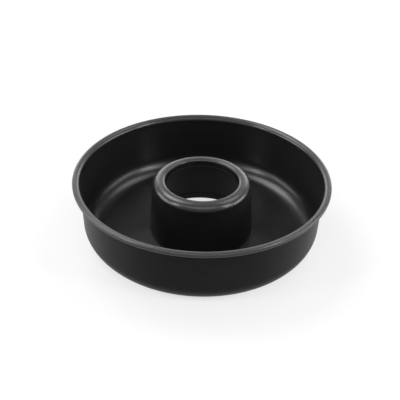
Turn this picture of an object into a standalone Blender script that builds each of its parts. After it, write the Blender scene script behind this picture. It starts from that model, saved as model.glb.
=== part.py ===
"""Savarin mould: a ring shaped baking pan of coated sheet steel.

A drawn pan shell with a rolled rim, a wire ring closed inside the roll, and an
open centre tube that stands on the pan's floor round a turned up collar.
Metres, +Z up, the pan's underside at z = 0 and its axis on Z.
"""
import math

import bpy

# Driving dimensions, in metres and degrees

SHEET = 0.0006                  # thickness of the steel sheet
SEAT_GAP = 0.0003               # clearance between touching pieces

RIM_DIAMETER = 0.260            # over the rolled rim
RIM_HEIGHT = 0.0665             # underside of the floor to the top of the rim
RIM_BEND_RADIUS = 0.0050        # visible bend from the wall into the rim
RIM_LAND = 0.00035              # flat stretch between the bend and the roll
WIRE_DIAMETER = 0.0029          # wire inside the roll
CURL_WRAP = 270.0               # how far the sheet goes round the wire
WALL_DRAFT = 1.3                # lean of the outer wall
CORNER_RADIUS = 0.0196          # outside radius between wall and floor

TUBE_FOOT_DIAMETER = 0.108      # over the tube where it meets the floor
TUBE_HEIGHT = 0.0596            # underside of the floor to the top of the tube
TUBE_DRAFT = 3.8                # lean of the tube's flank
SHOULDER_RADIUS = 0.0085        # rounding from the flank to the tube's top
HOLE_DIAMETER = 0.0744          # clear hole in the tube's top
LIP_RADIUS = 0.0037             # rounding from the top into the hole
LIP_DEPTH = 0.0080              # top of the tube to the edge of its turned in lip

COLLAR_HEIGHT = 0.0060          # top of the floor's collar inside the tube
FOLD_RADIUS = 0.0003            # inside radius where the collar is folded up

TURN_STEPS = 72                 # segments round the axis
WIRE_SIDES = 8                  # segments round the wire
ARC_STEP = 30.0                 # largest turn of a small bend's segment
CORNER_STEP = 16.0              # largest turn of a large bend's segment

# Places that follow from the driving dimensions

HALF_SHEET = SHEET / 2
CURL_RADIUS = WIRE_DIAMETER / 2 + SEAT_GAP + SHEET
CURL_CENTRE = (RIM_DIAMETER / 2 - CURL_RADIUS, RIM_HEIGHT - CURL_RADIUS)
TUBE_FOOT_Z = SHEET + SEAT_GAP


def toward(angle):
    """Unit step in the (radius, height) plane, angle in degrees from outwards."""
    return math.cos(math.radians(angle)), math.sin(math.radians(angle))


def offset(point, angle, distance):
    """The point moved by a distance in a direction."""
    across, up = toward(angle)
    return point[0] + distance * across, point[1] + distance * up


def arc(centre, radius, start, end, largest_step):
    """Points of an arc, with no segment that turns further than largest_step."""
    count = max(2, math.ceil(abs(end - start) / largest_step))
    angles = [start + (end - start) * i / count for i in range(count + 1)]
    return [offset(centre, angle, radius) for angle in angles]


def flank_radius(z, depth):
    """Radius of the tube's flank at a height, at a depth under its outer face."""
    lean = math.tan(math.radians(TUBE_DRAFT))
    outer = TUBE_FOOT_DIAMETER / 2 - (z - TUBE_FOOT_Z) * lean
    return outer - depth / math.cos(math.radians(TUBE_DRAFT))


def collar_line():
    """The collar on the floor's inner edge and the fold under it, top to floor."""
    depth = SHEET + SEAT_GAP + HALF_SHEET
    fold = FOLD_RADIUS + HALF_SHEET
    across, up = toward(TUBE_DRAFT)
    fold_z = HALF_SHEET + fold
    foot_z = fold_z - fold * up
    fold_centre = (flank_radius(foot_z, depth) + fold * across, fold_z)
    top = (flank_radius(COLLAR_HEIGHT, depth), COLLAR_HEIGHT)
    return [top] + arc(fold_centre, fold, TUBE_DRAFT - 180, -90, ARC_STEP)


def wall_line():
    """The floor's outer corner, the wall and the bend at its top."""
    bend = RIM_BEND_RADIUS - HALF_SHEET
    bend_centre = (CURL_CENTRE[0] - RIM_LAND, RIM_HEIGHT - RIM_BEND_RADIUS)
    bend_points = arc(bend_centre, bend, 180 - WALL_DRAFT, 90, CORNER_STEP)
    wall_top = bend_points[0]

    corner = CORNER_RADIUS - HALF_SHEET
    across, up = toward(WALL_DRAFT)
    wall_foot_z = CORNER_RADIUS - corner * up
    wall_foot = wall_top[0] - (wall_top[1] - wall_foot_z) * up / across
    corner_centre = (wall_foot - corner * across, CORNER_RADIUS)
    return arc(corner_centre, corner, -90, -WALL_DRAFT, CORNER_STEP) + bend_points


def curl_line():
    """The roll round the wire, from its top outwards, down and back in."""
    radius = CURL_RADIUS - HALF_SHEET
    return arc(CURL_CENTRE, radius, 90, 90 - CURL_WRAP, ARC_STEP)


def tube_line():
    """The tube's flank, shoulder, flat top and turned in lip, foot to edge."""
    lip_centre = (HOLE_DIAMETER / 2 + LIP_RADIUS, TUBE_HEIGHT - LIP_RADIUS)
    across, up = toward(TUBE_DRAFT)
    narrowing = (1 - up) / across
    room = flank_radius(TUBE_HEIGHT, 0) - lip_centre[0]
    shoulder = min(SHOULDER_RADIUS, room / narrowing)
    shoulder_centre = (lip_centre[0] + room - shoulder * narrowing, TUBE_HEIGHT - shoulder)

    foot = (flank_radius(TUBE_FOOT_Z, HALF_SHEET), TUBE_FOOT_Z)
    over = arc(shoulder_centre, shoulder - HALF_SHEET, TUBE_DRAFT, 90, CORNER_STEP)
    turned_in = arc(lip_centre, LIP_RADIUS - HALF_SHEET, 90, 180, CORNER_STEP)
    lip_edge = (turned_in[-1][0], TUBE_HEIGHT - LIP_DEPTH)
    return [foot] + over + turned_in + [lip_edge]


def without_repeats(points):
    """The points, without one that falls on the point before it."""
    kept = [points[0]]
    for point in points[1:]:
        if math.dist(point, kept[-1]) > SHEET / 100:
            kept.append(point)
    return kept


def surface(name, colour, roughness, metallic):
    """A material of one colour and finish."""
    material = bpy.data.materials.new(name)
    material.use_nodes = True
    shader = material.node_tree.nodes["Principled BSDF"]
    shader.inputs["Base Color"].default_value = (*colour, 1.0)
    shader.inputs["Roughness"].default_value = roughness
    shader.inputs["Metallic"].default_value = metallic
    material.diffuse_color = (*colour, 1.0)
    return material


def coated_steel(name):
    """Dark baked on coating over steel."""
    return surface(name, (0.02, 0.02, 0.021), 0.28, 0.0)


def bare_steel(name):
    """Drawn steel wire, left bare inside the roll."""
    return surface(name, (0.50, 0.50, 0.52), 0.35, 1.0)


def turned_sheet(name, line, material, collection):
    """A sheet metal part: its mid line turned round Z and given the sheet's thickness."""
    points = without_repeats(line)
    mesh = bpy.data.meshes.new(name)
    edges = [(i, i + 1) for i in range(len(points) - 1)]
    mesh.from_pydata([(r, 0.0, z) for r, z in points], edges, [])
    part = bpy.data.objects.new(name, mesh)
    collection.objects.link(part)
    part.data.materials.append(material)

    turn = part.modifiers.new("Turn", "SCREW")
    turn.axis = "Z"
    turn.angle = 2 * math.pi
    turn.steps = TURN_STEPS
    turn.render_steps = TURN_STEPS
    turn.use_smooth_shade = True
    turn.use_merge_vertices = True
    turn.merge_threshold = 0.00001

    thicken = part.modifiers.new("Sheet", "SOLIDIFY")
    thicken.thickness = SHEET
    thicken.offset = 0.0
    thicken.use_even_offset = True
    thicken.use_quality_normals = True
    return part


def pan_shell(collection):
    """The pan: floor with its collar, outer wall and rolled rim, one drawn sheet."""
    line = collar_line() + wall_line() + curl_line()
    return turned_sheet("pan_shell", line, coated_steel("pan_coating"), collection)


def centre_tube(collection):
    """The open tube in the middle, a second drawn sheet."""
    return turned_sheet("centre_tube", tube_line(), coated_steel("tube_coating"), collection)


def rim_wire(collection):
    """The wire ring that the rim is rolled round."""
    bpy.ops.mesh.primitive_torus_add(
        major_segments=TURN_STEPS, minor_segments=WIRE_SIDES,
        major_radius=CURL_CENTRE[0], minor_radius=WIRE_DIAMETER / 2,
        location=(0.0, 0.0, CURL_CENTRE[1]))
    part = bpy.context.object
    part.name = "rim_wire"
    part.data.name = "rim_wire"
    for owner in list(part.users_collection):
        owner.objects.unlink(part)
    collection.objects.link(part)
    part.data.materials.append(bare_steel("wire_steel"))
    part.data.shade_smooth()
    return part


def main():
    for old in list(bpy.data.objects):
        bpy.data.objects.remove(old)
    collection = bpy.data.collections.new("savarin_mould")
    bpy.context.scene.collection.children.link(collection)
    pan_shell(collection)
    centre_tube(collection)
    rim_wire(collection)


main()
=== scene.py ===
"""Looks of the savarin mould: finely turned shells with a baked black coating, in a plain studio."""
import math

import bpy
from mathutils import Matrix, Vector


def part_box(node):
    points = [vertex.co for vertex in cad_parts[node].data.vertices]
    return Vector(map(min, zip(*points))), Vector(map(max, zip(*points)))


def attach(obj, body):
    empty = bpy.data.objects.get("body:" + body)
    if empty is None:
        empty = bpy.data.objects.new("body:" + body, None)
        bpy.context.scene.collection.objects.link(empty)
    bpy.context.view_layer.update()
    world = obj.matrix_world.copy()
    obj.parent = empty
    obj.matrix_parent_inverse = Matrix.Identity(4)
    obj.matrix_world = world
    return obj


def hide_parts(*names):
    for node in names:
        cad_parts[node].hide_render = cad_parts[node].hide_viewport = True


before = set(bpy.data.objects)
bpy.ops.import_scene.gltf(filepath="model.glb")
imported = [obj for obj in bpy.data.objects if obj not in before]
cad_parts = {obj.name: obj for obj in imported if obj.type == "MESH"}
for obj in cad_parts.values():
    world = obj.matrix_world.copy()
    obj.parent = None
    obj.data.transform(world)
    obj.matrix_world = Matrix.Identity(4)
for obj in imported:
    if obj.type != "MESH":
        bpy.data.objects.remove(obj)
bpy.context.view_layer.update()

# Sizes that the frame gives, in metres

pan_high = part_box("pan_shell")[1]
tube_low, tube_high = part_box("centre_tube")
wire_low, wire_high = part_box("rim_wire")

RIM_HEIGHT = pan_high[2]
TUBE_HEIGHT = tube_high[2]
TUBE_FOOT_Z = tube_low[2]
TUBE_FOOT_RADIUS = tube_high[0]
WIRE_RADIUS = (wire_high[2] - wire_low[2]) / 2
CURL_CENTRE = (wire_high[0] - WIRE_RADIUS, (wire_high[2] + wire_low[2]) / 2)

# Sizes of the bends, as the solids have them

SHEET = 0.0006
SEAT_GAP = 0.0003
RIM_BEND_RADIUS = 0.0050
RIM_LAND = 0.00035
CURL_WRAP = 270.0
WALL_DRAFT = 1.3
CORNER_RADIUS = 0.0196
TUBE_DRAFT = 3.8
SHOULDER_RADIUS = 0.0085
HOLE_RADIUS = 0.0372
LIP_RADIUS = 0.0037
LIP_DEPTH = 0.0080
COLLAR_HEIGHT = 0.0060
FOLD_RADIUS = 0.0003

HALF_SHEET = SHEET / 2
CURL_RADIUS = RIM_HEIGHT - CURL_CENTRE[1]

# Fineness of the turned shells

TURN_STEPS = 288
LARGE_BEND_STEP = 3.0
SMALL_BEND_STEP = 9.0
EDGE_STEPS = 4
LARGEST_GAP = 0.004

# Strips of the lip's visible side, from its edge up, that have the dull coat, as painted shade in the hole

PAINTED_SHADE_LIP_STRIPS = 14

# The photograph's camera, found from the edges of rim, tube and underside

PHOTO_PIXELS = 400
SENSOR_WIDTH = 36.0
FOCAL_PIXELS = 653.6
CAMERA_DISTANCE = 0.6993
CAMERA_ELEVATION = 36.85
CAMERA_ROLL = 1.49
CAMERA_AIM = Vector((-0.0015, 0.0, 0.0334))


def toward(angle):
    """Unit step in the (radius, height) plane, angle in degrees from outwards."""
    return math.cos(math.radians(angle)), math.sin(math.radians(angle))


def offset(point, angle, distance):
    """The point moved by a distance in a direction."""
    across, up = toward(angle)
    return point[0] + distance * across, point[1] + distance * up


def arc(centre, radius, start, end, largest_step):
    """Points of an arc, with no segment that turns further than largest_step."""
    count = max(2, math.ceil(abs(end - start) / largest_step))
    angles = [start + (end - start) * i / count for i in range(count + 1)]
    return [offset(centre, angle, radius) for angle in angles]


def flank_radius(z, depth):
    """Radius of the tube's flank at a height, at a depth under its outer face."""
    lean = math.tan(math.radians(TUBE_DRAFT))
    outer = TUBE_FOOT_RADIUS - (z - TUBE_FOOT_Z) * lean
    return outer - depth / math.cos(math.radians(TUBE_DRAFT))


def collar_line():
    """The collar on the floor's inner edge and the fold under it, top to floor."""
    depth = SHEET + SEAT_GAP + HALF_SHEET
    fold = FOLD_RADIUS + HALF_SHEET
    across, up = toward(TUBE_DRAFT)
    fold_z = HALF_SHEET + fold
    foot_z = fold_z - fold * up
    fold_centre = (flank_radius(foot_z, depth) + fold * across, fold_z)
    top = (flank_radius(COLLAR_HEIGHT, depth), COLLAR_HEIGHT)
    return [top] + arc(fold_centre, fold, TUBE_DRAFT - 180, -90, SMALL_BEND_STEP)


def wall_line():
    """The floor's outer corner, the wall and the bend at its top."""
    bend = RIM_BEND_RADIUS - HALF_SHEET
    bend_centre = (CURL_CENTRE[0] - RIM_LAND, RIM_HEIGHT - RIM_BEND_RADIUS)
    bend_points = arc(bend_centre, bend, 180 - WALL_DRAFT, 90, LARGE_BEND_STEP)
    wall_top = bend_points[0]

    corner = CORNER_RADIUS - HALF_SHEET
    across, up = toward(WALL_DRAFT)
    wall_foot_z = CORNER_RADIUS - corner * up
    wall_foot = wall_top[0] - (wall_top[1] - wall_foot_z) * up / across
    corner_centre = (wall_foot - corner * across, CORNER_RADIUS)
    return arc(corner_centre, corner, -90, -WALL_DRAFT, LARGE_BEND_STEP) + bend_points


def curl_line():
    """The roll round the wire, from its top outwards, down and back in."""
    return arc(CURL_CENTRE, CURL_RADIUS - HALF_SHEET, 90, 90 - CURL_WRAP, LARGE_BEND_STEP)


def tube_line():
    """The tube's flank, shoulder, flat top and turned in lip, foot to edge."""
    lip_centre = (HOLE_RADIUS + LIP_RADIUS, TUBE_HEIGHT - LIP_RADIUS)
    across, up = toward(TUBE_DRAFT)
    narrowing = (1 - up) / across
    room = flank_radius(TUBE_HEIGHT, 0) - lip_centre[0]
    shoulder_centre = (lip_centre[0] + room - SHOULDER_RADIUS * narrowing, TUBE_HEIGHT - SHOULDER_RADIUS)

    foot = (flank_radius(TUBE_FOOT_Z, HALF_SHEET), TUBE_FOOT_Z)
    over = arc(shoulder_centre, SHOULDER_RADIUS - HALF_SHEET, TUBE_DRAFT, 90, LARGE_BEND_STEP)
    turned_in = arc(lip_centre, LIP_RADIUS - HALF_SHEET, 90, 180, LARGE_BEND_STEP)
    lip_edge = (turned_in[-1][0], TUBE_HEIGHT - LIP_DEPTH)
    return [foot] + over + turned_in + [lip_edge]


def closer_points(points, largest_gap):
    """The line with its long straight stretches divided, and without repeated points."""
    kept = [points[0]]
    for point in points[1:]:
        start = kept[-1]
        length = math.dist(point, start)
        if length < SHEET / 100:
            continue
        count = math.ceil(length / largest_gap)
        kept += [(start[0] + (point[0] - start[0]) * i / count, start[1] + (point[1] - start[1]) * i / count)
                 for i in range(1, count + 1)]
    return kept


def sheet_section(line):
    """Closed outline of a sheet of even thickness round its mid line, with rounded edges."""
    last = len(line) - 1
    headings = []
    for i in range(last + 1):
        before, after = line[max(i - 1, 0)], line[min(i + 1, last)]
        headings.append(math.degrees(math.atan2(after[1] - before[1], after[0] - before[0])))
    left = [offset(p, h + 90, HALF_SHEET) for p, h in zip(line, headings)]
    right = [offset(p, h - 90, HALF_SHEET) for p, h in zip(line, headings)]
    turn = 180 / EDGE_STEPS
    end_cap = [offset(line[-1], headings[-1] + 90 - turn * i, HALF_SHEET) for i in range(1, EDGE_STEPS)]
    start_cap = [offset(line[0], headings[0] - 90 - turn * i, HALF_SHEET) for i in range(1, EDGE_STEPS)]
    return left + end_cap + right[::-1] + start_cap


def turned(name, outline, food_side, back, back_and_shade_strips):
    """A closed outline turned round Z as a smooth mesh, with the sheet's back, and any strips painted as
    shade, in a material of its own.
    """
    mesh = bpy.data.meshes.new(name)
    count = len(outline)
    rings = []
    for step in range(TURN_STEPS):
        angle = 2 * math.pi * step / TURN_STEPS
        rings += [(r * math.cos(angle), r * math.sin(angle), z) for r, z in outline]
    faces = []
    for step in range(TURN_STEPS):
        here, there = step * count, (step + 1) % TURN_STEPS * count
        for i in range(count):
            j = (i + 1) % count
            faces.append((here + i, here + j, there + j, there + i))
    mesh.from_pydata(rings, [], faces)
    mesh.materials.append(food_side)
    mesh.materials.append(back)
    for face in mesh.polygons:
        face.material_index = int(face.index % count in back_and_shade_strips)
    mesh.shade_smooth()
    piece = bpy.data.objects.new(name, mesh)
    bpy.context.scene.collection.objects.link(piece)
    return piece


class Nodes:
    """Short ways to add and join shader nodes in one material."""

    def __init__(self, name):
        self.material = bpy.data.materials.new(name)
        self.material.use_nodes = True
        self.tree = self.material.node_tree
        self.shader = self.tree.nodes["Principled BSDF"]

    def add(self, kind, **settings):
        node = self.tree.nodes.new(kind)
        for key, value in settings.items():
            setattr(node, key, value)
        return node

    def join(self, source, target):
        self.tree.links.new(source, target)

    def math(self, operation, first, second=0.0):
        node = self.add("ShaderNodeMath", operation=operation)
        for socket, value in zip(node.inputs, (first, second)):
            if isinstance(value, (int, float)):
                socket.default_value = value
            else:
                self.join(value, socket)
        return node.outputs[0]

    def spread(self, value, low, high, to_low, to_high):
        """Maps low..high to to_low..to_high, held at the ends."""
        node = self.add("ShaderNodeMapRange")
        node.clamp = True
        self.join(value, node.inputs["Value"])
        for key, number in (("From Min", low), ("From Max", high), ("To Min", to_low), ("To Max", to_high)):
            node.inputs[key].default_value = number
        return node.outputs["Result"]

    def noise(self, vector, scale, detail=2.0, roughness=0.5):
        node = self.add("ShaderNodeTexNoise")
        node.inputs["Scale"].default_value = scale
        node.inputs["Detail"].default_value = detail
        node.inputs["Roughness"].default_value = roughness
        self.join(vector, node.inputs["Vector"])
        return node.outputs["Fac"]

    def blend_colour(self, share, first, second):
        node = self.add("ShaderNodeMix", data_type="RGBA")
        self.join(share, node.inputs["Factor"])
        for socket, value in ((node.inputs["A"], first), (node.inputs["B"], second)):
            if isinstance(value, tuple):
                socket.default_value = (*value, 1.0)
            else:
                self.join(value, socket)
        return node.outputs["Result"]

    def bump(self, height, distance, under=None):
        node = self.add("ShaderNodeBump")
        node.inputs["Distance"].default_value = distance
        self.join(height, node.inputs["Height"])
        if under is not None:
            self.join(under, node.inputs["Normal"])
        return node.outputs["Normal"]


# Satin coat: its colours, roughness and wear; the wear's grey on the crests is also a painted highlight

COATING_IOR = 1.5
COATING_BLACK = (0.0060, 0.0060, 0.0061)
COATING_GREY = (0.0110, 0.0110, 0.0112)
COATING_ROUGHNESS = (0.29, 0.35)
CREST_ROUGHNESS = -0.04
CREST_DEPTHS = (0.012, 0.006)
# Grey on the crests: partly wear, partly a painted highlight that brightens the rim and the tube's top
WORN_AND_SHEEN_GREY = (0.055, 0.055, 0.056)
WORN_ROUGHNESS = 0.015
WORN_AND_SHEEN_SHARE = (0.62, 0.95)
PAN_WEAR_AND_SHEEN_DEPTH = 0.0021
TUBE_WEAR_AND_SHEEN_DEPTH = 0.0042
PAN_DRIFT = 0.0
TUBE_DRIFT = 0.37

# Satin coat: noise scales, and depths in metres

PEEL_SCALE = 620.0
PEEL_DEPTH = 0.0000028
GRAIN_SCALE = 3600.0
GRAIN_DEPTH = 0.000002
SMUDGE_SCALE = 17.0
WEAR_AND_SHEEN_SCALE = 420.0
MARKS_FINE = 1500.0
MARKS_ROUND_AXIS = 2.2
MARKS_DEPTH = 0.000002
MARKS_ROUGHNESS = 0.02

# Dull coat on the sheets' backs, darker and less glossy; in the hole it is painted shade

BACK_AND_SHADE_BLACK = (0.0040, 0.0040, 0.0040)
BACK_AND_SHADE_GREY = (0.0075, 0.0074, 0.0073)
BACK_ROUGHNESS = (0.34, 0.42)
BACK_SPECULAR = 0.11
BACK_GRAIN_SCALE = 2600.0
BACK_GRAIN_DEPTH = 0.000004
STAIN_SCALE = 30.0

# Wire inside the roll

WIRE_BRIGHT = (0.52, 0.52, 0.53)
WIRE_DULL = (0.33, 0.31, 0.29)
WIRE_ROUGHNESS = (0.26, 0.46)
WIRE_MARKS_FINE = 5000.0
WIRE_MARKS_ROUND_AXIS = 9.0
WIRE_MARKS_DEPTH = 0.00001
WIRE_PATCH_SCALE = 90.0


def ring_marks(n, place, fine, round_axis):
    """Noise drawn out in long marks round the axis, and the height of the point it is read at."""
    parts = n.add("ShaderNodeSeparateXYZ")
    n.join(place, parts.inputs[0])
    across, along, height = parts.outputs
    square = n.math("ADD", n.math("MULTIPLY", across, across), n.math("MULTIPLY", along, along))
    stretched = n.add("ShaderNodeCombineXYZ")
    n.join(n.math("MULTIPLY", n.math("SQRT", square), fine), stretched.inputs[0])
    n.join(n.math("MULTIPLY", n.math("ARCTAN2", along, across), round_axis), stretched.inputs[1])
    n.join(n.math("MULTIPLY", height, fine), stretched.inputs[2])
    return n.noise(stretched.outputs[0], 1.0, detail=3.0), height


def coating(name, crest_height, wear_and_sheen_depth, drift):
    """Satin black baked coating: sprayed texture, drawing marks under it, and light wear on the crest, whose
    grey is also a painted highlight.
    """
    n = Nodes(name)
    centred = n.add("ShaderNodeTexCoord").outputs["Object"]
    shift = n.add("ShaderNodeVectorMath", operation="ADD")
    shift.inputs[1].default_value = (drift, drift * 0.7, drift * 0.3)
    n.join(centred, shift.inputs[0])
    place = shift.outputs[0]

    drawing_marks, height = ring_marks(n, centred, MARKS_FINE, MARKS_ROUND_AXIS)
    orange_peel = n.noise(place, PEEL_SCALE, detail=1.5)
    grain = n.noise(place, GRAIN_SCALE, roughness=0.6)
    smudges = n.noise(place, SMUDGE_SCALE, detail=4.0, roughness=0.62)
    wear_and_sheen_patches = n.noise(place, WEAR_AND_SHEEN_SCALE, detail=5.0, roughness=0.7)

    # Grey near the crest, in patches: partly wear, partly a painted highlight
    near_crest = n.spread(height, crest_height - wear_and_sheen_depth, crest_height - wear_and_sheen_depth * 0.2, 0.0, 1.0)
    worn_and_sheen = n.math("MULTIPLY", near_crest, n.spread(wear_and_sheen_patches, 0.52, 0.70, *WORN_AND_SHEEN_SHARE))

    black = n.blend_colour(n.spread(grain, 0.38, 0.68, 0.0, 1.0), COATING_BLACK, COATING_GREY)
    # The crest's grey over the grained black: wear and painted highlight
    n.join(n.blend_colour(worn_and_sheen, black, WORN_AND_SHEEN_GREY), n.shader.inputs["Base Color"])

    satin = n.spread(smudges, 0.30, 0.72, *COATING_ROUGHNESS)
    crest_from, crest_to = (crest_height - depth for depth in CREST_DEPTHS)
    smoothed = n.math("ADD", satin, n.spread(height, crest_from, crest_to, 0.0, CREST_ROUGHNESS))
    marks = n.spread(drawing_marks, 0.3, 0.7, -MARKS_ROUGHNESS, MARKS_ROUGHNESS)
    scuffed = n.math("MULTIPLY", worn_and_sheen, WORN_ROUGHNESS)
    n.join(n.math("ADD", n.math("ADD", smoothed, marks), scuffed), n.shader.inputs["Roughness"])

    drawn = n.bump(drawing_marks, MARKS_DEPTH)
    sprayed = n.bump(orange_peel, PEEL_DEPTH, under=drawn)
    n.join(n.bump(grain, GRAIN_DEPTH, under=sprayed), n.shader.inputs["Normal"])
    n.shader.inputs["IOR"].default_value = COATING_IOR
    return n.material


def dull_coat_and_shade():
    """Thin dull coat on the back of both sheets, the mould's outside and the inside of its hole, and on the
    lip's visible side; in the hole and on the lip its darkness is painted shade.
    """
    n = Nodes("dull_coat_and_shade_look")
    place = n.add("ShaderNodeTexCoord").outputs["Object"]
    grain = n.noise(place, BACK_GRAIN_SCALE, roughness=0.6)
    stains = n.noise(place, STAIN_SCALE, detail=4.0, roughness=0.6)
    tone = n.blend_colour(n.spread(stains, 0.4, 0.65, 0.0, 1.0), BACK_AND_SHADE_BLACK, BACK_AND_SHADE_GREY)
    n.join(tone, n.shader.inputs["Base Color"])
    n.join(n.spread(grain, 0.3, 0.7, *BACK_ROUGHNESS), n.shader.inputs["Roughness"])
    n.join(n.bump(grain, BACK_GRAIN_DEPTH), n.shader.inputs["Normal"])
    n.shader.inputs["IOR"].default_value = COATING_IOR
    n.shader.inputs["Specular IOR Level"].default_value = BACK_SPECULAR
    return n.material


def wire_steel():
    """Drawn steel wire: fine lengthwise marks and a few dull patches."""
    n = Nodes("drawn_wire")
    place = n.add("ShaderNodeTexCoord").outputs["Object"]
    marks = ring_marks(n, place, WIRE_MARKS_FINE, WIRE_MARKS_ROUND_AXIS)[0]
    patches = n.noise(place, WIRE_PATCH_SCALE, detail=4.0)
    tone = n.blend_colour(n.spread(patches, 0.4, 0.65, 0.0, 1.0), WIRE_BRIGHT, WIRE_DULL)
    n.join(tone, n.shader.inputs["Base Color"])
    n.join(n.spread(marks, 0.3, 0.7, *WIRE_ROUGHNESS), n.shader.inputs["Roughness"])
    n.join(n.bump(marks, WIRE_MARKS_DEPTH), n.shader.inputs["Normal"])
    n.shader.inputs["Metallic"].default_value = 1.0
    return n.material


def mould():
    """The three pieces, dressed."""
    back = dull_coat_and_shade()
    pan_line = closer_points(collar_line() + wall_line() + curl_line(), LARGEST_GAP)
    pan_strips = len(pan_line) - 1
    pan_back = range(pan_strips + EDGE_STEPS, 2 * pan_strips + EDGE_STEPS)
    pan_coat = coating("pan_coating_look", RIM_HEIGHT, PAN_WEAR_AND_SHEEN_DEPTH, PAN_DRIFT)
    pan = turned("coated_pan", sheet_section(pan_line), pan_coat, back, pan_back)
    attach(pan, "root")
    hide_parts("pan_shell")

    inner_line = closer_points(tube_line(), LARGEST_GAP)
    # The dull coat also goes on the lip's visible side, as painted shade in the hole
    tube_back_and_shade = range(len(inner_line) - 1 + EDGE_STEPS + PAINTED_SHADE_LIP_STRIPS)
    tube_coat = coating("tube_coating_look", TUBE_HEIGHT, TUBE_WEAR_AND_SHEEN_DEPTH, TUBE_DRIFT)
    tube = turned("coated_tube", sheet_section(inner_line), tube_coat, back, tube_back_and_shade)
    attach(tube, "root")
    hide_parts("centre_tube")

    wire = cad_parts["rim_wire"]
    wire.data.materials.clear()
    wire.data.materials.append(wire_steel())


# Floor, surroundings and lamps

FLOOR_SPAN = 60.0
FLOOR_DROP = 0.0002
FLOOR_WHITE = (0.26, 0.26, 0.26)
FLOOR_ROUGHNESS = 0.9
FLOOR_LIFT = (0.68, 1.0)
FLOOR_LIFT_RADII = (0.25, 1.1)
PLAIN_WHITE = (1.0, 1.0, 1.0, 1.0)
SKY_AT_HORIZON = 1.0
SKY_ABOVE = 0.10
SKY_FOR_LIGHT = 0.12
SKY_FADE = (0.25, 0.58)

LAMP_DISTANCE = 1.4

# Each lamp's name, azimuth, elevation, width, height and radiance

LAMPS = (
    ("left_box", -50, 57, 0.74, 0.56, 7.2),
    ("right_box", 54, 57, 0.62, 0.50, 3.9),
    ("left_back", -20, 20, 0.74, 0.60, 2.3),
    ("right_back", 20, 20, 0.74, 0.60, 2.3),
    ("front_middle", 180, 52, 0.50, 0.60, 2.2),
    ("front_left", -150, 50, 0.42, 0.46, 2.6),
    ("front_right", 150, 50, 0.42, 0.46, 2.6),
    ("left_strip", -117, 35, 0.16, 0.56, 17.0),
    ("right_strip", 117, 35, 0.16, 0.56, 19.0),
    ("left_panel", -88, 17, 0.90, 0.44, 6.0),
    ("right_panel", 88, 17, 0.90, 0.44, 6.0),
)


def seen_directly(tree):
    """1 for rays from the camera, off gloss and through glass, 0 for the rest."""
    path = tree.nodes.new("ShaderNodeLightPath")
    first = tree.nodes.new("ShaderNodeMath")
    first.operation = "MAXIMUM"
    tree.links.new(path.outputs["Is Camera Ray"], first.inputs[0])
    tree.links.new(path.outputs["Is Glossy Ray"], first.inputs[1])
    second = tree.nodes.new("ShaderNodeMath")
    second.operation = "MAXIMUM"
    tree.links.new(first.outputs[0], second.inputs[0])
    tree.links.new(path.outputs["Is Transmission Ray"], second.inputs[1])
    return second.outputs[0]


def studio_floor():
    """Plain white floor that keeps the shadow and is lifted to the photograph's white."""
    mesh = bpy.data.meshes.new("studio_floor")
    half = FLOOR_SPAN / 2
    mesh.from_pydata([(-half, -half, -FLOOR_DROP), (half, -half, -FLOOR_DROP),
                      (half, half, -FLOOR_DROP), (-half, half, -FLOOR_DROP)], [], [(0, 1, 2, 3)])
    floor = bpy.data.objects.new("studio_floor", mesh)
    bpy.context.scene.collection.objects.link(floor)
    n = Nodes("studio_white")
    n.shader.inputs["Base Color"].default_value = (*FLOOR_WHITE, 1.0)
    n.shader.inputs["Roughness"].default_value = FLOOR_ROUGHNESS
    n.shader.inputs["Specular IOR Level"].default_value = 0.0
    n.shader.inputs["Emission Color"].default_value = PLAIN_WHITE
    away = n.add("ShaderNodeVectorMath", operation="LENGTH")
    n.join(n.add("ShaderNodeTexCoord").outputs["Object"], away.inputs[0])
    rising = n.spread(away.outputs["Value"], *FLOOR_LIFT_RADII, *FLOOR_LIFT)
    n.join(n.math("MULTIPLY", seen_directly(n.tree), rising), n.shader.inputs["Emission Strength"])
    mesh.materials.append(n.material)


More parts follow.
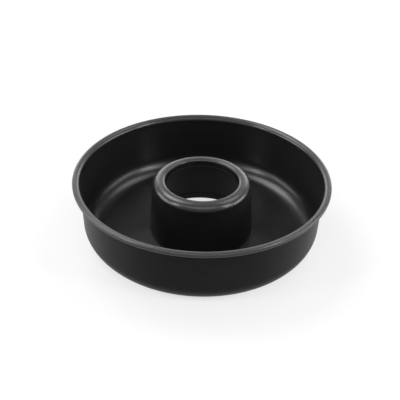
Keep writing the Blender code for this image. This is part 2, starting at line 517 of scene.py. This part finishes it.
def studio_sky():
    """Pale surroundings: white at the horizon where they are seen, darker above, and even for light."""
    world = bpy.data.worlds.new("studio_sky")
    bpy.context.scene.world = world
    world.use_nodes = True
    tree = world.node_tree
    background = tree.nodes["Background"]
    background.inputs["Color"].default_value = PLAIN_WHITE
    direction = tree.nodes.new("ShaderNodeTexCoord")
    parts = tree.nodes.new("ShaderNodeSeparateXYZ")
    tree.links.new(direction.outputs["Generated"], parts.inputs[0])
    fade = tree.nodes.new("ShaderNodeMapRange")
    fade.inputs["From Min"].default_value = SKY_FADE[0]
    fade.inputs["From Max"].default_value = SKY_FADE[1]
    fade.inputs["To Min"].default_value = SKY_AT_HORIZON
    fade.inputs["To Max"].default_value = SKY_ABOVE
    tree.links.new(parts.outputs["Z"], fade.inputs["Value"])
    strength = tree.nodes.new("ShaderNodeMapRange")
    strength.inputs["To Min"].default_value = SKY_FOR_LIGHT
    tree.links.new(fade.outputs["Result"], strength.inputs["To Max"])
    tree.links.new(seen_directly(tree), strength.inputs["Value"])
    tree.links.new(strength.outputs["Result"], background.inputs["Strength"])


def soft_box(name, azimuth, elevation, width, height, radiance):
    """Rectangular lamp aimed at the mould; azimuth 0 is behind it, 90 to the right."""
    light = bpy.data.lights.new(name, "AREA")
    light.shape = "RECTANGLE"
    light.size = width
    light.size_y = height
    light.energy = radiance * math.pi * width * height
    lamp = bpy.data.objects.new(name, light)
    bpy.context.scene.collection.objects.link(lamp)
    turn, rise = math.radians(azimuth), math.radians(elevation)
    away = Vector((math.sin(turn) * math.cos(rise), math.cos(turn) * math.cos(rise), math.sin(rise)))
    lamp.location = away * LAMP_DISTANCE
    lamp.rotation_euler = away.to_track_quat("Z", "Y").to_euler()
    lamp.visible_camera = False


def photo_camera():
    """The camera at the photograph's angle, distance, roll and frame."""
    data = bpy.data.cameras.new("photo_camera")
    data.sensor_width = SENSOR_WIDTH
    data.lens = FOCAL_PIXELS * SENSOR_WIDTH / PHOTO_PIXELS
    camera = bpy.data.objects.new("photo_camera", data)
    bpy.context.scene.collection.objects.link(camera)
    rise = math.radians(CAMERA_ELEVATION)
    place = Vector((0.0, -math.cos(rise), math.sin(rise))) * CAMERA_DISTANCE
    ahead = (CAMERA_AIM - place).normalized()
    level = ahead.cross(Vector((0.0, 0.0, 1.0))).normalized()
    roll = Matrix.Rotation(math.radians(-CAMERA_ROLL), 3, ahead)
    right = roll @ level
    above = right.cross(ahead)
    camera.matrix_world = Matrix((
        (right.x, above.x, -ahead.x, place.x),
        (right.y, above.y, -ahead.y, place.y),
        (right.z, above.z, -ahead.z, place.z),
        (0.0, 0.0, 0.0, 1.0)))
    bpy.context.scene.camera = camera


def studio():
    """Floor, surroundings, lamps and camera."""
    studio_floor()
    studio_sky()
    for lamp in LAMPS:
        soft_box(*lamp)
    photo_camera()


mould()
studio()
bpy.context.scene.view_settings.view_transform = "Standard"
